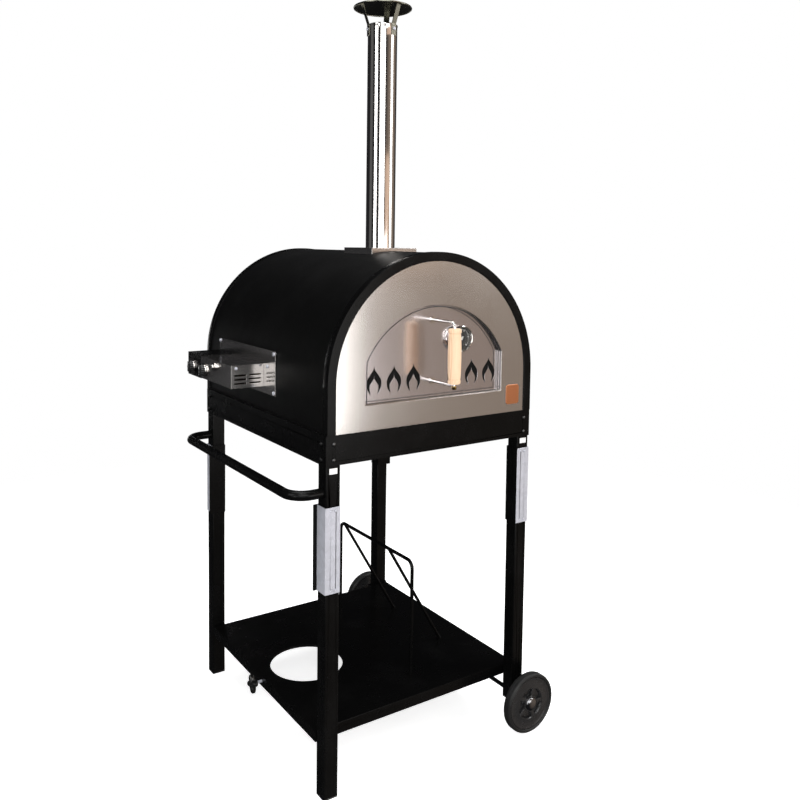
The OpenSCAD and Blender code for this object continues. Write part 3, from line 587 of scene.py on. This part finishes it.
def build_thermometer():
    """A bimetal dial: rolled bezel, dished black face and raised white marks."""
    dial = centre("thermometer_dial")
    origin = Vector((dial.x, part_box("door_panel")[0].y, dial.z))
    out = -Y
    stem = [(0, -27), (4.2, -27), (5, -26), (5, 0.5)]
    cup = [(29, 1.5), (32.4, 4), (33.2, 7), (33.2, 13.2)]
    bezel = [(34.4, 14.6), (35, 16.5), (35, 21.2), (34.3, 23.1), (32.8, 24), (31.4, 23.5), (30.6, 22)]
    pivot = [(30.6, 12.2), (1, 12.2), (1, 19.8), (0, 19.8)]
    bm = bmesh.new()
    turned(bm, stem + cup + bezel + pivot, origin, out)
    keep("thermometer_bezel", bm, "door", "polished_stainless", "thermometer_case")
    face = [(1.7, 12.3), (30.3, 12.3), (30.3, 16), (28.6, 16), (27.4, 15.4), (1.7, 15.4)]
    bm = bmesh.new()
    turned(bm, face, origin, out, closed=True)
    keep("thermometer_face", bm, "door", "dial_black", "thermometer_dial")
    level = origin + out * 15.5 * MM
    sweep = 270
    steps = 40
    bm = bmesh.new()
    for mark in range(steps + 1):
        angle = math.radians(-sweep / 2 + sweep * mark / steps)
        away = Z * math.cos(angle) + X * math.sin(angle)
        across = out.cross(away)
        long = mark % 8 == 0
        inner = level + away * (20.5 if long else 23.5) * MM
        outer = level + away * 26.5 * MM
        bar(bm, inner, outer, across, out, 1.3 if long else 0.6, 0.5)
    keep("thermometer_marks", bm, "door", "needle_white")


# ---- gas controls ----

def build_knob(node):
    """A fluted skirt with a pointer bar, a white line and a bright ring round its foot."""
    middle = centre(node)
    skirt_depth = 15.5
    origin = Vector((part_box(node)[0].x + skirt_depth * MM, middle.y, middle.z))
    out = -X
    profile = [(0, -18), (3, -18), (3, 0), (17, 0), (17, 3.2), (15.6, 4), (14.8, 11), (13.8, 12), (0, 12)]

    def flutes(angle, radius, height):
        if height > 3.5 and radius > 5:
            return radius - 0.6 * (1 + math.cos(16 * angle))
        return radius

    bm = bmesh.new()
    turned(bm, profile, origin, out, 128, flutes)
    pointer = origin + out * 12.6 * MM
    bar(bm, pointer - Z * 15 * MM, pointer + Z * 15 * MM, Y, out, 7.5, 5.6, bevel=1.4)
    keep(node + "_fluted", bm, node, "black_plastic", node)
    bm = bmesh.new()
    line = origin + out * 15.35 * MM
    bar(bm, line + Z * 4 * MM, line + Z * 13 * MM, Y, out, 1.6, 0.4)
    keep(node + "_line", bm, node, "needle_white")
    ring = [(16.9, 0.3), (18, 0.5), (18.4, 1.6), (18, 2.7), (16.9, 2.9)]
    bm = bmesh.new()
    turned(bm, ring, origin, out, closed=True)
    keep(node + "_ring", bm, node, "polished_stainless")


def build_igniter():
    """A push button with a dished end on a stem."""
    middle = centre("igniter_button")
    length = 12
    origin = Vector((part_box("igniter_button")[0].x + length * MM, middle.y, middle.z))
    stem = [(0, -14), (3, -14), (3, 4.7)]
    button = [(6.7, 4.8), (7, 5.4), (7, length - 1.6), (6.4, length - 0.5), (5.2, length),
              (4, length - 0.5), (0, length - 1)]
    bm = bmesh.new()
    turned(bm, stem + button, origin, -X, 64)
    keep("igniter_dished", bm, "igniter_button", "polished_stainless", "igniter_button")


def build_clamp_knob():
    """A four-lobed moulded hand knob with rounded lobes."""
    middle = centre("clamp_knob")
    origin = Vector((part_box("clamp_knob")[1].x, middle.y, middle.z))
    neck = [(4.05, 0), (10.2, 0), (11, 0.8), (11, 5.4)]
    head = [(15, 6.2), (18.2, 8.2), (18.8, 11), (18.8, 15.4), (18, 18), (16, 19.6),
            (12, 20), (7.5, 19.4), (6.5, 18.4), (0, 18.2)]

    def lobes(angle, radius, height):
        share = max(0.0, min(1.0, (radius - 9) / 8)) if height > 5.5 else 0.0
        return radius + share * 7 * math.cos(4 * (angle - math.radians(20)))

    bm = bmesh.new()
    turned(bm, neck + head, origin, -X, 160, lobes)
    keep("clamp_knob_lobed", bm, "clamp_handwheel", "black_plastic", "clamp_knob", finish=GLOSS_BLACK)


# ---- flue ----

def build_flue_pipe():
    """A seamed pipe with a rolled end."""
    low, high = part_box("flue_pipe")
    origin = foot("flue_pipe")
    radius = (high.x - low.x) / 2 / MM
    length = (high.z - low.z) / MM
    sections = 12
    levels = [length * step / sections for step in range(sections)]
    profile = [(radius, level) for level in levels]
    profile += [(radius, length - 6), (radius + 0.9, length - 4.4), (radius + 1.2, length - 2.6),
                (radius + 0.8, length - 0.8), (radius - 0.4, length), (radius - 1.2, length - 1)]
    profile += [(radius - 1.2, level) for level in reversed(levels)]
    bm = bmesh.new()
    turned(bm, profile, origin, Z, 160, closed=True)
    seam = origin + Y * (radius + 0.2) * MM
    bar(bm, seam, seam + Z * (length - 7) * MM, X, Y, 9, 0.9)
    keep("flue_pipe_seamed", bm, STAND, "polished_stainless", "flue_pipe")


def build_rain_cap():
    """A shallow cone with a flat crown and a rolled rim."""
    low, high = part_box("rain_cap")
    origin = foot("rain_cap") + Z * 4 * MM
    rim = (high.x - low.x) / 2 / MM
    profile = [(0, 24), (11, 24), (15, 23.4), (rim - 3, 3.9), (rim - 0.8, 3), (rim, 1.6), (rim - 0.4, -0.6),
               (rim - 1.4, -1.2), (rim - 2.4, -0.4), (rim - 2.8, 1.2), (14, 22.2), (0, 22.4)]
    bm = bmesh.new()
    turned(bm, profile, origin, Z, 160)
    # The rain cap wears the darkened copy of the stainless: painted shade and reflection on its underside.
    keep("rain_cap_rolled", bm, STAND, "polished_stainless", "rain_cap", finish=SHADED_CAP_STEEL)


# ---- scene ----

look_through_camera()
build_room()
light_studio()
lay_floor()
dress_frame()
for end, side in (("front", -1), ("back", 1)):
    build_wheel(end, side)
build_axle_caps()
build_grip()
build_door_gap_shadow()
build_thermometer()
build_knob("gas_knob")
build_knob("flame_knob")
build_igniter()
build_clamp_knob()
build_flue_pipe()
build_rain_cap()
